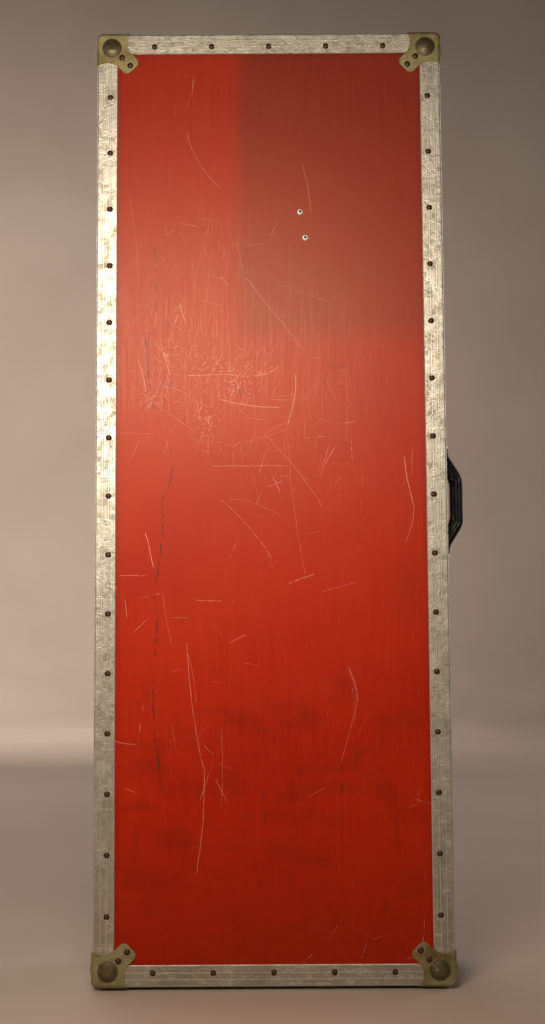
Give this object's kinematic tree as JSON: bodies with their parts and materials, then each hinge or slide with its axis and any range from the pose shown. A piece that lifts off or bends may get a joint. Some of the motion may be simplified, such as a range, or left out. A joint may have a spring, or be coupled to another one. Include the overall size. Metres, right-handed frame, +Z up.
{
  "type": "guitar flight case",
  "caption": "Upright hard guitar case: red laminate boards in ribbed aluminium edges, ball corners, hinged lid, bow handle, twist latches and a padded fitted interior.",
  "frame": {"origin": "on the ground under the middle of the case: midway between the side extrusions' outer planes and midway between the front and back ones, level with the lowest tips of the ball corners", "axes": "+Z up along the case towards the neck end, +X towards the carrying handle, -Y towards the lid's face"},
  "size_m": [0.4592, 0.149, 1.1491],
  "materials": {
    "red_laminate": "worn satin laminate with scuffs and scratches",
    "plywood": "plain birch plywood",
    "edge_aluminium": "extruded, worn and grimy",
    "corner_steel": "dull yellow plating, tarnished",
    "rivet_steel": "brown oxidised heads",
    "fitting_steel": "zinc plated, worn",
    "handle_plastic": "moulded, ribbed, satin",
    "foam_lining": "short plush over foam"
  },
  "bodies": {
    "base": {"accessory_tray": "plywood", "base_back_board": "plywood", "base_back_skin": "red_laminate", "base_ball_corner_bottom_handle": "corner_steel", "base_ball_corner_bottom_hinge": "corner_steel", "base_ball_corner_top_handle": "corner_steel", "base_ball_corner_top_hinge": "corner_steel", "base_bottom_edge_angle": "edge_aluminium", "base_bottom_wall": "plywood", "base_corner_angles": "edge_aluminium", "base_corner_rivets": "rivet_steel", "base_edge_rivets": "rivet_steel", "base_fitting_rivets": "rivet_steel", "base_floor_pad": "foam_lining", "base_handle_side_edge_angle": "edge_aluminium", "base_handle_side_wall": "plywood", "base_hinge_leaves": "fitting_steel", "base_hinge_side_edge_angle": "edge_aluminium", "base_hinge_side_wall": "plywood", "base_tongue_frame": "edge_aluminium", "base_top_edge_angle": "edge_aluminium", "base_top_wall": "plywood", "base_wall_pads": "foam_lining", "base_wall_skins": "red_laminate", "handle_brackets": "fitting_steel", "hinge_pins": "fitting_steel", "latch_dishes": "fitting_steel", "neck_rest": "foam_lining", "neck_side_blocks": "foam_lining"},
    "lid": {"latch_keepers": "fitting_steel", "lid_ball_corner_bottom_handle": "corner_steel", "lid_ball_corner_bottom_hinge": "corner_steel", "lid_ball_corner_top_handle": "corner_steel", "lid_ball_corner_top_hinge": "corner_steel", "lid_bottom_edge_angle": "edge_aluminium", "lid_bottom_wall": "plywood", "lid_corner_angles": "edge_aluminium", "lid_corner_rivets": "rivet_steel", "lid_edge_rivets": "rivet_steel", "lid_fitting_rivets": "rivet_steel", "lid_groove_frame": "edge_aluminium", "lid_handle_side_edge_angle": "edge_aluminium", "lid_handle_side_wall": "plywood", "lid_hinge_leaves": "fitting_steel", "lid_hinge_side_edge_angle": "edge_aluminium", "lid_hinge_side_wall": "plywood", "lid_neck_block": "plywood", "lid_panel_board": "plywood", "lid_panel_pad": "foam_lining", "lid_panel_skin": "red_laminate", "lid_top_edge_angle": "edge_aluminium", "lid_top_wall": "plywood", "lid_wall_pads": "foam_lining", "lid_wall_skins": "red_laminate", "neck_block_rivets": "edge_aluminium"},
    "handle": {"carry_handle": "handle_plastic"},
    "upper_claw": {"upper_latch_claw": "fitting_steel"},
    "upper_wing": {"upper_latch_wing": "fitting_steel"},
    "lower_claw": {"lower_latch_claw": "fitting_steel"},
    "lower_wing": {"lower_latch_wing": "fitting_steel"}
  },
  "joints": [
    {"name": "lid_hinge", "type": "hinge", "parent": "base", "child": "lid", "pos_m": [-0.214, -0.008, 0.57455], "axis": [0, 0, -1], "range_deg": [0, 95]},
    {"name": "handle_pivot", "type": "hinge", "parent": "base", "child": "handle", "pos_m": [0.218, 0.0235, 0.57455], "axis": [0, 0, 1], "range_deg": [-80, 80]},
    {"name": "upper_latch_turn", "type": "hinge", "parent": "base", "child": "upper_claw", "pos_m": [0.202, 0.012, 0.86455], "axis": [-1, 0, 0], "range_deg": [0, 90]},
    {"name": "upper_wing_fold", "type": "hinge", "parent": "upper_claw", "child": "upper_wing", "pos_m": [0.2074, 0.012, 0.86455], "axis": [0, 0, -1], "range_deg": [0, 90]},
    {"name": "lower_latch_turn", "type": "hinge", "parent": "base", "child": "lower_claw", "pos_m": [0.202, 0.012, 0.28455], "axis": [-1, 0, 0], "range_deg": [0, 90]},
    {"name": "lower_wing_fold", "type": "hinge", "parent": "lower_claw", "child": "lower_wing", "pos_m": [0.2074, 0.012, 0.28455], "axis": [0, 0, -1], "range_deg": [0, 90]}
  ]
}
